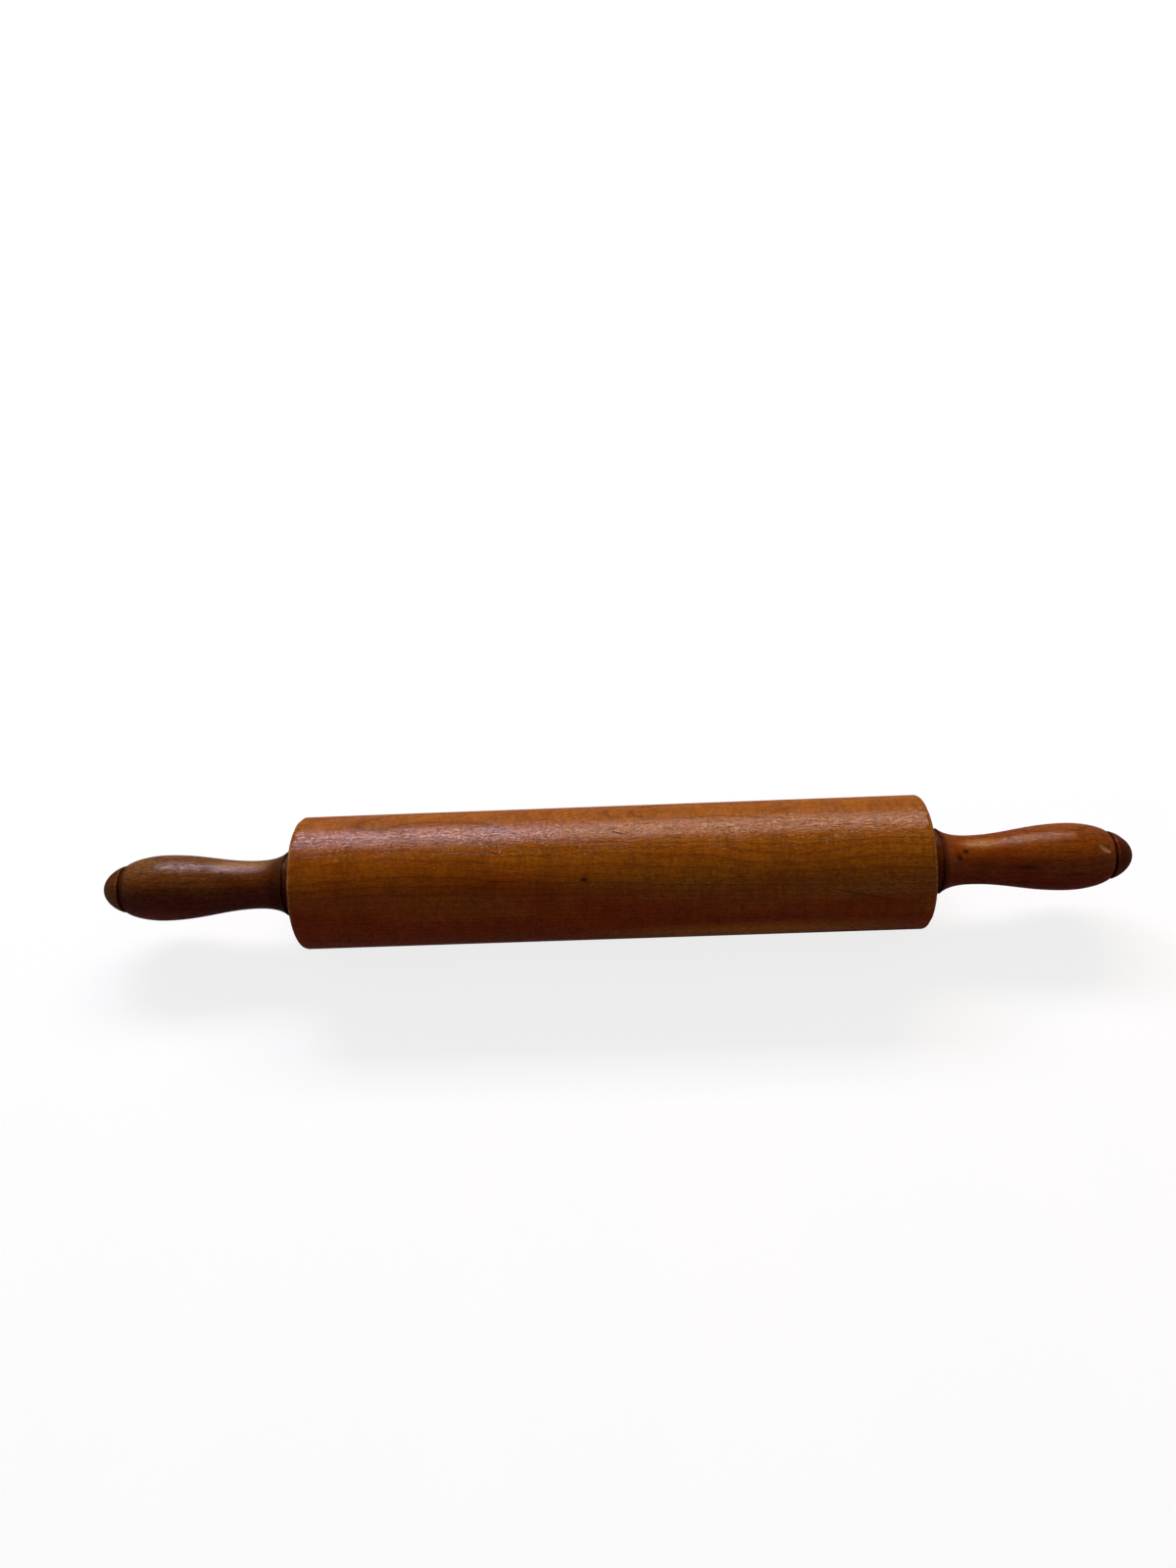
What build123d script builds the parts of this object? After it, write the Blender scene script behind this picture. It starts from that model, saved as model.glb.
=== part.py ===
from build123d import *
import os
from math import asin, cos, degrees, radians, tan

# A two-handled rolling pin. A turned wooden barrel spins on two ball bearings about a
# steel rod. The rod carries a turned handle at each end, clamped by a nut in the
# handle's counterbore, and a domed wooden button plugs the counterbore.
#
# Frame: the origin is the middle of the rod's axis. X runs along the axis, towards the
# right-hand handle, and Z is up. Lengths are in millimetres. Every piece that comes in
# pairs is drawn at the right-hand end and mirrored for the left.

# Barrel
BARREL_LENGTH = 325.0
BARREL_DIAMETER = 70.0
BARREL_ARRIS = 2.5              # radius worn onto both end edges
ROD_TUNNEL_GAP = 1.5            # air round the rod inside the barrel
BEARING_RECESS = 1.5            # how far the bearing sits below the barrel's end face
RELIEF_GAP = 0.9                # room round and behind the retaining ring

# Rod
ROD_DIAMETER = 10.0
THREAD_DIAMETER = 8.0           # the turned-down ends that take the nuts, drawn plain
THREAD_SETBACK = 1.0            # the rod's shoulder stays this far inside the wood
ROD_END_CHAMFER = 0.8
ROD_PROUD_OF_NUT = 1.0

# Ball bearing
BEARING_DIAMETER = 26.0
BEARING_WIDTH = 8.0
BALL_DIAMETER = 4.762
BALL_COUNT = 7
BALL_PLAY = 0.03                # between a ball and the bottom of its raceway
RACE_CONFORMITY_SHARE = 0.52    # raceway radius over ball diameter
CAGE_THICKNESS = 2.4            # radial
CAGE_CLEARANCE = 0.4            # from the cage to either ring's shoulder
CAGE_BACK = 3.0                 # axial reach of the closed side, from the balls' centres
CAGE_LIP = 1.2                  # axial reach of the snap side
POCKET_PLAY = 0.1
SHIELD_THICKNESS = 0.3
SHIELD_INSET = 0.3              # from the bearing's face
SHIELD_RUNNING_GAP = 0.2        # from a shield to the inner ring
SHIELD_GRIP = 0.7               # how far a shield sits into the outer ring

# Retaining ring in the rod's groove behind each bearing, and spacer in front of it
CLIP_THICKNESS = 1.0
CLIP_GROOVE_DEPTH = 0.25
CLIP_BACK_WIDTH = 2.4           # radial width opposite the gap
CLIP_HORN_WIDTH = 1.5           # radial width beside the gap
CLIP_GAP = 3.2
CLIP_LUG_DIAMETER = 3.4
CLIP_EYE_DIAMETER = 1.5
SPACER_DIAMETER = 14.0

# Handle, turned from one blank. Reaches are measured from its inner face.
HANDLE_GAP = 0.8                # running gap from the barrel's end face
BEAD_WIDTH = 6.4
BEAD_DIAMETER = 34.6
BEAD_EDGE = 1.3
QUIRK_WIDTH = 1.0               # the fine groove beside the bead
QUIRK_DEPTH = 1.5
COVE_DIAMETER = 34.4            # where the cove leaves the quirk
NECK_DIAMETER = 25.6
NECK_REACH = 24.2
BULB_DIAMETER = 35.0
BULB_REACH = 74.2
SHOULDER_DIAMETER = 25.5        # where the bulb ends in a step
SHOULDER_REACH = 94.6
LAND_DIAMETER = 22.0            # the seat under the button
LAND_WIDTH = 1.6                # how far the button's head stands off the step
COVE_SHARES = ((0.16, 0.51), (0.42, 0.0))
SWELL_SHARES = ((0.38, 0.0), (0.58, 1.0))
CLOSE_SHARES = ((0.30, 1.0), (0.80, 0.68))

# Counterbore and what is in it
COUNTERBORE_DIAMETER = 18.4
WASHER_DIAMETER = 16.0
WASHER_THICKNESS = 1.6
WASHER_CLEARANCE = 0.2          # radial, round the thread
LOCK_WASHER_DIAMETER = 14.8
LOCK_WASHER_THICKNESS = 2.0
LOCK_WASHER_SLIT = 0.8
NUT_ACROSS_FLATS = 13.0
NUT_HEIGHT = 6.5
NUT_SIDES = 6
NUT_BEVEL = 30.0                # degrees
PLUG_LENGTH = 7.0
PLUG_CHAMFER = 0.8
PLUG_TO_ROD_GAP = 1.4

# Button
BUTTON_DIAMETER = 24.8
BUTTON_HEIGHT = 11.4
DOME_SHARES = ((0.12, 1.0), (1.0, 0.66))

# Air all round a fixed seat, and how far a cut runs past what it cuts
SEAT_CLEARANCE = 0.02
OVERRUN = 1.0

# Radii and places along the axis that several pieces share
rod_radius = ROD_DIAMETER / 2
thread_radius = THREAD_DIAMETER / 2
bearing_radius = BEARING_DIAMETER / 2
pitch_radius = (rod_radius + bearing_radius) / 2
ball_radius = BALL_DIAMETER / 2
barrel_end = BARREL_LENGTH / 2
bearing_face = barrel_end - BEARING_RECESS
bearing_middle = bearing_face - BEARING_WIDTH / 2
bearing_back = bearing_face - BEARING_WIDTH
clip_back = bearing_back - CLIP_THICKNESS
handle_face = barrel_end + HANDLE_GAP
shoulder_at = handle_face + SHOULDER_REACH
button_seat = shoulder_at + LAND_WIDTH
plug_end = button_seat - PLUG_LENGTH
rod_tip = plug_end - PLUG_TO_ROD_GAP
nut_face = rod_tip - ROD_PROUD_OF_NUT
lock_washer_face = nut_face - NUT_HEIGHT
washer_face = lock_washer_face - LOCK_WASHER_THICKNESS
counterbore_floor = washer_face - WASHER_THICKNESS
cage_inner_radius = pitch_radius - CAGE_THICKNESS / 2
cage_outer_radius = pitch_radius + CAGE_THICKNESS / 2
inner_shoulder_radius = cage_inner_radius - CAGE_CLEARANCE
outer_shoulder_radius = cage_outer_radius + CAGE_CLEARANCE
shield_seat_radius = outer_shoulder_radius + SHIELD_GRIP
shield_depth = SHIELD_INSET + SHIELD_THICKNESS
clip_bore_radius = rod_radius - CLIP_GROOVE_DEPTH + SEAT_CLEARANCE
counterbore_radius = COUNTERBORE_DIAMETER / 2


def section(start, end, inner, outer):
    """Half the section of a ring: from x = start to end, and from radius inner to outer."""
    return Pos((start + end) / 2, (inner + outer) / 2) * Rectangle(end - start, outer - inner)


def ring(start, end, inner, outer):
    """A plain ring round the rod's axis."""
    return revolve(section(start, end, inner, outer), Axis.X)


def square_to_rod(x):
    """A plane square to the rod at x, whose own X runs along the frame's Y."""
    return Plane(origin=(x, 0, 0), x_dir=(0, 1, 0), z_dir=(1, 0, 0))


def curve(start, end, shares):
    """A smooth curve of two inner control points, given as shares of its run and its rise."""
    run = end[0] - start[0]
    low = min(start[1], end[1])
    rise = abs(end[1] - start[1])
    inner = [(start[0] + run * along, low + rise * up) for along, up in shares]
    return Bezier(start, *inner, end)


def barrel():
    """The wooden roller, with a tunnel for the rod and a stepped pocket at each end."""
    tunnel = rod_radius + ROD_TUNNEL_GAP
    relief = clip_bore_radius + max(CLIP_BACK_WIDTH, CLIP_LUG_DIAMETER) + RELIEF_GAP
    pocket = bearing_radius + SEAT_CLEARANCE
    surface = BARREL_DIAMETER / 2
    outside = FilletPolyline(
        (0, surface), (barrel_end, surface), (barrel_end, pocket), radius=BARREL_ARRIS
    )
    inside = Polyline(
        (barrel_end, pocket),
        (bearing_back, pocket),
        (bearing_back, relief),
        (clip_back - RELIEF_GAP, relief),
        (clip_back - RELIEF_GAP, tunnel),
        (0, tunnel),
        (0, surface),
    )
    half = revolve(make_face(outside + inside), Axis.X)
    return half + mirror(half, Plane.YZ)


def axle_rod():
    """The through rod, with a groove for each retaining ring and turned-down ends."""
    groove = rod_radius - CLIP_GROOVE_DEPTH
    shoulder = counterbore_floor - THREAD_SETBACK
    outline = Polyline(
        (0, 0),
        (0, rod_radius),
        (clip_back, rod_radius),
        (clip_back, groove),
        (bearing_back, groove),
        (bearing_back, rod_radius),
        (shoulder, rod_radius),
        (shoulder, thread_radius),
        (rod_tip - ROD_END_CHAMFER, thread_radius),
        (rod_tip, thread_radius - ROD_END_CHAMFER),
        (rod_tip, 0),
        close=True,
    )
    half = revolve(make_face(outline), Axis.X)
    return half + mirror(half, Plane.YZ)


def raceway(side):
    """The section of the groove that the balls run in, in the outer (-1) or inner (1) ring."""
    radius = BALL_DIAMETER * RACE_CONFORMITY_SHARE
    middle = pitch_radius + side * (radius - ball_radius - BALL_PLAY)
    return Pos(bearing_middle, middle) * Circle(radius)


def bearing_outer_ring():
    """The outer ring, with its raceway and a seat for a shield at each side."""
    profile = section(bearing_back, bearing_face, outer_shoulder_radius, bearing_radius)
    profile -= section(bearing_back, bearing_back + shield_depth, 0, shield_seat_radius)
    profile -= section(bearing_face - shield_depth, bearing_face, 0, shield_seat_radius)
    return revolve(profile - raceway(-1), Axis.X)


def bearing_inner_ring():
    """The inner ring, which the rod passes through."""
    bore = rod_radius + SEAT_CLEARANCE
    profile = section(bearing_back, bearing_face, bore, inner_shoulder_radius)
    return revolve(profile - raceway(1), Axis.X)


def ball_places():
    """The balls' centres, evenly spaced round the pitch circle."""
    return square_to_rod(bearing_middle) * PolarLocations(pitch_radius, BALL_COUNT)


def bearing_balls():
    """One bearing's balls, as separate solids."""
    return Compound([place * Sphere(ball_radius) for place in ball_places()])


def bearing_cage():
    """The moulded crown cage: a band with an open snap pocket for each ball."""
    back = bearing_middle - CAGE_BACK
    lip = bearing_middle + CAGE_LIP
    band = ring(back, lip, cage_inner_radius, cage_outer_radius)
    return band - [place * Sphere(ball_radius + POCKET_PLAY) for place in ball_places()]


def bearing_shields():
    """The two pressed discs that close the bearing against flour and crumbs."""
    inner = inner_shoulder_radius + SHIELD_RUNNING_GAP
    outer = shield_seat_radius - SEAT_CLEARANCE
    inboard = ring(bearing_back + SHIELD_INSET, bearing_back + shield_depth, inner, outer)
    outboard = ring(bearing_face - shield_depth, bearing_face - SHIELD_INSET, inner, outer)
    return Compound([inboard, outboard])


def retaining_ring():
    """The spring ring in the rod's groove: wide at the back, with an eyed lug at each horn."""
    outer = clip_bore_radius + (CLIP_BACK_WIDTH + CLIP_HORN_WIDTH) / 2
    eye_at = clip_bore_radius + CLIP_LUG_DIAMETER / 2
    eye_turn = degrees(asin((CLIP_GAP + CLIP_LUG_DIAMETER) / 2 / eye_at))
    eyes = [Rot(0, 0, turn) * Pos(0, eye_at) for turn in (-eye_turn, eye_turn)]
    flat = Pos(0, (CLIP_HORN_WIDTH - CLIP_BACK_WIDTH) / 2) * Circle(outer)
    flat += [eye * Circle(CLIP_LUG_DIAMETER / 2) for eye in eyes]
    flat -= Circle(clip_bore_radius)
    flat -= Pos(0, eye_at) * Rectangle(CLIP_GAP, 2 * eye_at)
    flat -= [eye * Circle(CLIP_EYE_DIAMETER / 2) for eye in eyes]
    thickness = CLIP_THICKNESS - 2 * SEAT_CLEARANCE
    return extrude(square_to_rod(clip_back + SEAT_CLEARANCE) * flat, thickness)


def spacer():
    """The collar that carries the nut's clamping load from the handle to the inner ring."""
    return ring(bearing_face, handle_face, rod_radius + SEAT_CLEARANCE, SPACER_DIAMETER / 2)


def handle():
    """One turned handle: bead and quirk, cove, neck, bulb, and the step under the button."""
    bore = rod_radius + SEAT_CLEARANCE
    bead = BEAD_DIAMETER / 2
    bead_end = handle_face + BEAD_WIDTH
    cove = (bead_end + QUIRK_WIDTH, COVE_DIAMETER / 2)
    neck = (handle_face + NECK_REACH, NECK_DIAMETER / 2)
    bulb = (handle_face + BULB_REACH, BULB_DIAMETER / 2)
    shoulder = (shoulder_at, SHOULDER_DIAMETER / 2)
    land = LAND_DIAMETER / 2
    front = FilletPolyline(
        (handle_face, bore),
        (handle_face, bead),
        (bead_end, bead),
        (bead_end, bead - QUIRK_DEPTH),
        (cove[0], bead - QUIRK_DEPTH),
        cove,
        radius=[BEAD_EDGE, BEAD_EDGE, 0, 0],
    )
    grip = curve(cove, neck, COVE_SHARES)
    grip += curve(neck, bulb, SWELL_SHARES)
    grip += curve(bulb, shoulder, CLOSE_SHARES)
    back = Polyline(
        shoulder,
        (shoulder_at, land),
        (button_seat, land),
        (button_seat, counterbore_radius),
        (counterbore_floor, counterbore_radius),
        (counterbore_floor, bore),
        (handle_face, bore),
    )
    return revolve(make_face(front + grip + back), Axis.X)


def flat_washer():
    """The washer that spreads the nut's load over the wood."""
    bore = thread_radius + WASHER_CLEARANCE
    return ring(counterbore_floor, washer_face, bore, WASHER_DIAMETER / 2)


def lock_washer():
    """The spring washer under the nut, cut through at one place."""
    bore = thread_radius + WASHER_CLEARANCE
    outer = LOCK_WASHER_DIAMETER / 2
    middle = Pos((washer_face + lock_washer_face) / 2, 0, outer)
    slit = middle * Box(LOCK_WASHER_THICKNESS + OVERRUN, LOCK_WASHER_SLIT, 2 * outer)
    return ring(washer_face, lock_washer_face, bore, outer) - slit


def nut():
    """The hexagon nut, with its corners bevelled on the outer face."""
    flats = NUT_ACROSS_FLATS / 2
    corner = flats / cos(radians(180 / NUT_SIDES))
    bevel = (corner - flats) * tan(radians(NUT_BEVEL))
    hexagon = RegularPolygon(flats, NUT_SIDES, major_radius=False)
    prism = extrude(square_to_rod(lock_washer_face) * hexagon, NUT_HEIGHT)
    bore = thread_radius + SEAT_CLEARANCE
    turned = Polyline(
        (lock_washer_face, bore),
        (lock_washer_face, corner),
        (nut_face - bevel, corner),
        (nut_face, flats),
        (nut_face, bore),
        close=True,
    )
    return prism & revolve(make_face(turned), Axis.X)


def button():
    """The turned mushroom button, whose shank plugs the counterbore."""
    shank = counterbore_radius - SEAT_CLEARANCE
    rim = (button_seat, BUTTON_DIAMETER / 2)
    crown = (button_seat + BUTTON_HEIGHT, 0)
    body = Polyline(
        crown,
        (plug_end, 0),
        (plug_end, shank - PLUG_CHAMFER),
        (plug_end + PLUG_CHAMFER, shank),
        (button_seat, shank),
        rim,
    )
    return revolve(make_face(curve(rim, crown, DOME_SHARES) + body), Axis.X)


PAIRED = (
    bearing_outer_ring,
    bearing_inner_ring,
    bearing_balls,
    bearing_cage,
    bearing_shields,
    retaining_ring,
    spacer,
    handle,
    flat_washer,
    lock_washer,
    nut,
    button,
)

os.makedirs("parts", exist_ok=True)
export_step(barrel(), "parts/barrel.step")
export_step(axle_rod(), "parts/axle_rod.step")
for make in PAIRED:
    right = make()
    export_step(right, f"parts/right_{make.__name__}.step")
    export_step(mirror(right, Plane.YZ), f"parts/left_{make.__name__}.step")
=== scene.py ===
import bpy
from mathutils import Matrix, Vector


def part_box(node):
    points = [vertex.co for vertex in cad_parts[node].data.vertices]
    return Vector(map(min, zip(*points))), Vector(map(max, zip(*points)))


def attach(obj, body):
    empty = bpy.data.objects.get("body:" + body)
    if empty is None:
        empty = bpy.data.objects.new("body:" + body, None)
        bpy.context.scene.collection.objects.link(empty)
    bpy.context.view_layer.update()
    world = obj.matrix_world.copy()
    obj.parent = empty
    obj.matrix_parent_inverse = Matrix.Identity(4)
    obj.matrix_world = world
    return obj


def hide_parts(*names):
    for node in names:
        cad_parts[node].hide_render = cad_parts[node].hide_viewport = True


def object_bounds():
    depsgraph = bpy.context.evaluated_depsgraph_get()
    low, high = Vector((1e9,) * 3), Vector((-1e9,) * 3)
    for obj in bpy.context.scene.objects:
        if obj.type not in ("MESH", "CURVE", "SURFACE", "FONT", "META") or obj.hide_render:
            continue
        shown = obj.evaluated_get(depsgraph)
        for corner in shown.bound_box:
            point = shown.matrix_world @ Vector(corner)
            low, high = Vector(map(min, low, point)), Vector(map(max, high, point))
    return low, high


bl_info = {
    "name": "Two-handled rolling pin",
    "version": (1, 0, 0),
    "blender": (4, 5, 0),
    "location": "View3D > Sidebar > Rolling Pin",
    "description": "Dresses a rolling pin's frame in turned, varnished wood, in a studio",
    "category": "Object",
}

from math import cos, pi, radians, sin

import bmesh
import bpy
import numpy as np
from bpy.props import FloatProperty, FloatVectorProperty, IntProperty, PointerProperty
from mathutils import Matrix, Vector

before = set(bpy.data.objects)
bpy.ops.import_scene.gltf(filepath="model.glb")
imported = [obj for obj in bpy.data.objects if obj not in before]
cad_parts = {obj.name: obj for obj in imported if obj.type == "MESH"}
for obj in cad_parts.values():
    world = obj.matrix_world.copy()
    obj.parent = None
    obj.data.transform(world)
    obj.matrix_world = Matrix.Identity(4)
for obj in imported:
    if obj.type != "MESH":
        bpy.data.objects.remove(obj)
cad_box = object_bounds()

# The frame's origin is the middle of the rod's axis, X runs along it and Z is up. All of
# it is in metres. A pattern's sizes are given in millimetres of the real wood or metal.
MM = 0.001
# The way along X in which each side of the pin points.
HAND = {"left": -1, "right": 1}
# Surfaces that meet in the drawing are turned this far apart, so that neither shows through.
SLIVER = 0.00002
# The wall of a spacer, and the room round a washer in its counterbore.
SPACER_WALL = 0.002
WASHER_ROOM = 0.0012
# A turned edge sharper than this stays crisp.
CRISP = radians(35)


def linear(code):
    """The linear colour of an sRGB hex value such as 9A5B22."""
    parts = [int(code[i:i + 2], 16) / 255 for i in (0, 2, 4)]
    return [p / 12.92 if p <= 0.04045 else ((p + 0.055) / 1.055) ** 2.4 for p in parts]


def solid(colour):
    """A colour with full alpha, as a shader's socket takes it."""
    return (*colour, 1.0)


def far(node):
    """How far a node of the frame reaches outward along X, from the middle of the pin."""
    return max(abs(corner.x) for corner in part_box(node))


def near(node):
    """How near a node of the frame comes to the middle of the pin along X."""
    return min(abs(corner.x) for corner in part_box(node))


def radius(node):
    """The largest radius of a round node of the frame."""
    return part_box(node)[1].z


# ---- Sizes and colours that a user would change


def length(name, description, default, least=0.0):
    """A length in the sidebar."""
    return FloatProperty(
        name=name, description=description, default=default, min=least, unit="LENGTH")


def paint(name, description, code):
    """A colour in the sidebar, whose default is an sRGB hex value."""
    return FloatVectorProperty(
        name=name, description=description, default=linear(code), subtype="COLOR", size=3,
        min=0, max=1)


def lamp_colour(name, description, default):
    """The linear colour of a lamp in the sidebar."""
    return FloatVectorProperty(
        name=name, description=description, default=default, subtype="COLOR", size=3, min=0, max=1)


class PinSizes(bpy.types.PropertyGroup):
    """The turned shapes of the wooden pieces."""

    arris: length("Barrel edge", "Radius worn onto both end edges of the barrel", 0.0025, 0.0005)
    tunnel_gap: length("Tunnel gap", "Air round the rod inside the barrel", 0.0015)
    relief_gap: length("Relief gap", "Room behind each retaining ring", 0.0009)
    relief_radius: length(
        "Relief radius", "Radius of the pocket round each retaining ring", 0.00907, 0.006)
    bead_width: length("Bead width", "Length of the bead at the root of a handle", 0.0064)
    bead_radius: length("Bead radius", "Radius of the bead", 0.0173)
    bead_edge: length("Bead edge", "Rounding of both edges of the bead", 0.0013)
    quirk_width: length("Quirk width", "Width of the fine groove beside the bead", 0.001)
    quirk_depth: length("Quirk depth", "Depth of the fine groove beside the bead", 0.0015)
    cove_radius: length("Cove radius", "Radius where the cove leaves the groove", 0.0172)
    neck_radius: length("Neck radius", "Thinnest radius of the handle", 0.0128)
    neck_reach: length("Neck reach", "Distance of the neck from the inner face", 0.0242)
    bulb_reach: length("Bulb reach", "Distance of the thickest place from the inner face", 0.0742)
    shoulder_reach: length(
        "Shoulder reach", "Distance of the end step from the inner face", 0.0946)
    shoulder_radius: length(
        "Shoulder radius", "Radius where the bulb ends in the step", 0.01275)
    land_radius: length("Land radius", "Radius of the seat under the button", 0.011)
    plug_chamfer: length("Plug chamfer", "Chamfer on the button's shank", 0.0008)
    edge_softness: length("Edge softness", "Radius sanded onto the small turned edges", 0.0003)
    dents: IntProperty(
        name="Dents", description="How many shallow dents a long life has left on the barrel",
        default=70, min=0, max=400)
    rim_dents: IntProperty(
        name="Rim dents", description="How many nicks each rim of the barrel has",
        default=26, min=0, max=200)
    handle_dents: IntProperty(
        name="Handle dents", description="How many shallow dents each handle has",
        default=24, min=0, max=200)
    step_dents: IntProperty(
        name="Step dents", description="How many nicks the step of each handle has",
        default=9, min=0, max=200)
    button_dents: IntProperty(
        name="Button dents", description="How many nicks each button has",
        default=12, min=0, max=200)
    seed: IntProperty(
        name="Seed", description="Seed of the dents and nicks", default=11, min=0)


class PinColours(bpy.types.PropertyGroup):
    """The colours of the wood, of the metal and nylon inside it, and of the floor."""

    golden: paint("Golden", "Lightest wood of the barrel under its old varnish", "8C4D05")
    # Partly painted shade: the barrel's heartwood lies on its lower front, the shaded side, and
    # this dark colour deepens that side.
    russet: paint("Russet", "Reddish heartwood of the barrel", "7F2C03")
    # Painted light: the barrel's lower right edge is made paler, as light from below would make
    # it.
    painted_light_from_below: paint("Pale band", "Paler wood at the barrel's lower right edge", "A8600A")
    grip_golden: paint("Right handle", "Lightest wood of the right handle", "7C3D05")
    # Partly painted shade: the right handle's heartwood lies on its lower front, the shaded side,
    # and this colour deepens that side.
    grip_russet: paint("Right handle heart", "Reddish wood of the right handle", "6E1F02")
    grip_brown: paint("Left handle", "Lighter wood of the left handle", "6E4416")
    # Partly painted shade: the left handle's heartwood lies on its lower front, the shaded side,
    # and this dark colour deepens that side.
    grip_dark: paint("Left handle heart", "Left handle's wood, dark with hands and oil", "501301")
    # Painted sheen: a lighter golden patch on the top of the right handle's neck, where its
    # highlight spreads.
    painted_right_neck_sheen: paint("Right neck", "Golden patch on the right handle's neck", "90580E")
    # Painted sheen: a paler strip along the top of the left handle's neck, where its highlight
    # spreads.
    painted_left_neck_sheen: paint("Left neck", "Paler wood along the left handle's neck", "946A40")
    left_button: paint("Left button", "Lighter wood of the left button", "65340D")
    left_button_heart: paint("Left button heart", "Darker wood of the left button", "4C2305")
    right_button: paint("Right button", "Lighter wood of the right button", "5E2C0B")
    right_button_heart: paint("Right button heart", "Darker wood of the right button", "521A03")
    late: paint("Late wood", "The darker line that ends each year's ring", "421601")
    # Also painted glint: the pale line along worn edges and rims is partly a highlight painted in
    # this colour.
    bare_and_glint: paint("Bare wood", "Wood where the varnish is rubbed through", "9A6F44")
    # Also painted shade: this colour darkens the grooves, the handles' inner faces and roots and
    # the button seats, where shade falls.
    grime_and_shade: paint("Grime", "Flour and oil gone dark in grooves and scratches", "260B01")
    stain: paint("Stain", "Stain at the root of the right handle", "28070A")
    streak: paint("Streak", "Dark streaks on the right handle's bulb", "3A1203")
    steel: paint("Steel", "Bright steel of the rod, spacers and bearings", "B9B6B0")
    zinc: paint("Zinc", "Zinc plating of the nuts and washers", "A9ADB2")
    spring: paint("Spring steel", "Oil-blackened spring steel", "4A4641")
    nylon: paint("Nylon", "Natural nylon of the bearing cages", "D8D0BC")
    floor: paint("Floor", "Pale studio floor, as the eye sees it", "848381")
    floor_mirrored: paint("Mirrored floor", "The floor, as varnish and metal show it", "BCBBB9")
    floor_bounce: paint("Floor bounce", "The floor, as it lights the pin from below", "8A8886")


class PinStage(bpy.types.PropertyGroup):
    """Where the camera stands and how the studio is lit."""

    camera_place: FloatVectorProperty(
        name="Camera place", description="Where the camera stands",
        subtype="TRANSLATION", unit="LENGTH", size=3, default=(0.00991, -0.28968, 0.49669))
    camera_turn: FloatVectorProperty(
        name="Camera turn", description="The camera's rotation",
        subtype="EULER", unit="ROTATION", size=3,
        default=(radians(34.8985), radians(2.8533), radians(-0.6581)))
    lens: FloatProperty(
        name="Lens", description="Focal length on a sensor of 36 mm",
        default=24.89, unit="CAMERA")
    lamp_angle: FloatProperty(
        name="Lamp angle", description="Angle of the lamps and windows above the floor",
        default=radians(41.5), unit="ROTATION")
    lamp_distance: length("Lamp distance", "Distance of the lamps and windows", 1.5)
    lamp_height: length("Lamp height", "Height of the soft lamps", 0.3, 0.01)
    window_height: length("Window height", "Height of the windows", 0.6, 0.05)
    window_glare: FloatProperty(
        name="Window glare", description="How much brighter the windows look than the lamps",
        default=2.6, min=0.0)
    warm_place: length("Warm place", "Where the warm lamp and window stand along X", 0.36, -3.0)
    warm_width: length("Warm width", "Width of the warm lamp and window", 0.9)
    warm_power: FloatProperty(
        name="Warm power", description="Power of the warm lamp", default=14.0, unit="POWER")
    warm_colour: lamp_colour("Warm colour", "Colour of the warm lamp", (1.0, 0.84, 0.76))
    cool_place: length("Cool place", "Where the cool lamp and window stand along X", -0.52, -3.0)
    cool_width: length("Cool width", "Width of the cool lamp and window", 0.82)
    cool_power: FloatProperty(
        name="Cool power", description="Power of the cool lamp", default=18.5, unit="POWER")
    cool_colour: lamp_colour("Cool colour", "Colour of the cool lamp", (0.8, 0.78, 1.0))
    floor_radius: length("Floor radius", "Radius of the round floor", 6.0, 1.0)
    surroundings: FloatProperty(
        name="Surroundings", description="Strength of the plain light from all round",
        default=0.26, min=0.0)


class PinSettings(bpy.types.PropertyGroup):
    """Everything about the rolling pin that the sidebar shows."""

    sizes: PointerProperty(type=PinSizes)
    colours: PointerProperty(type=PinColours)
    stage: PointerProperty(type=PinStage)


# ---- Turning: outlines of points (x, radius), revolved about the rod's axis


def run(start, end, step):
    """Points along a straight line, from start up to but not including end."""
    distance = (Vector(end) - Vector(start)).length
    count = max(1, round(distance / step))
    return [tuple(Vector(start).lerp(Vector(end), i / count)) for i in range(count)]


def arc(centre, size, first, last, step):
    """Points on a circle, at angles in degrees that turn from straight out towards +X."""
    turns = [radians(angle) for angle in range(first, last, step)]
    return [(centre[0] + size * sin(t), centre[1] + size * cos(t)) for t in turns]


def sweep(start, end, shares, count):
    """Points along a smooth curve whose two inner control points are shares of run and rise."""
    low = min(start[1], end[1])
    rise = abs(end[1] - start[1])
    inner = [(start[0] + (end[0] - start[0]) * along, low + rise * up) for along, up in shares]
    a, b, c, d = (Vector(p) for p in (start, *inner, end))
    points = []
    for i in range(count):
        t = i / count
        u = 1 - t
        points.append(tuple(a * u ** 3 + b * (3 * u * u * t) + c * (3 * u * t * t) + d * t ** 3))
    return points


def soften(corner, before, after, size, count=4):
    """Points that round a corner between its two neighbours."""
    here = Vector(corner)
    a = here + (Vector(before) - here).normalized() * size
    c = here + (Vector(after) - here).normalized() * size
    points = []
    for i in range(count + 1):
        t = i / count
        points.append(tuple(a * (1 - t) ** 2 + here * (2 * t * (1 - t)) + c * t * t))
    return points


def dent(rng, x, half_length, half_width, depth):
    """A dent at x, somewhere round the turning, with each measure drawn from its range."""
    return (x, rng.uniform(0, 2 * pi), rng.uniform(*half_length), rng.uniform(*half_width),
            rng.uniform(*depth))


def closeness(along, out, spots):
    """0 to 1: how close each outline point is to any of the spots (x, radius, reach)."""
    near_to = np.zeros_like(along)
    for x, r, reach in spots:
        gap = ((along - x) ** 2 + (out - r) ** 2) / reach ** 2
        near_to = np.maximum(near_to, np.exp(-gap))
    return near_to


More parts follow.
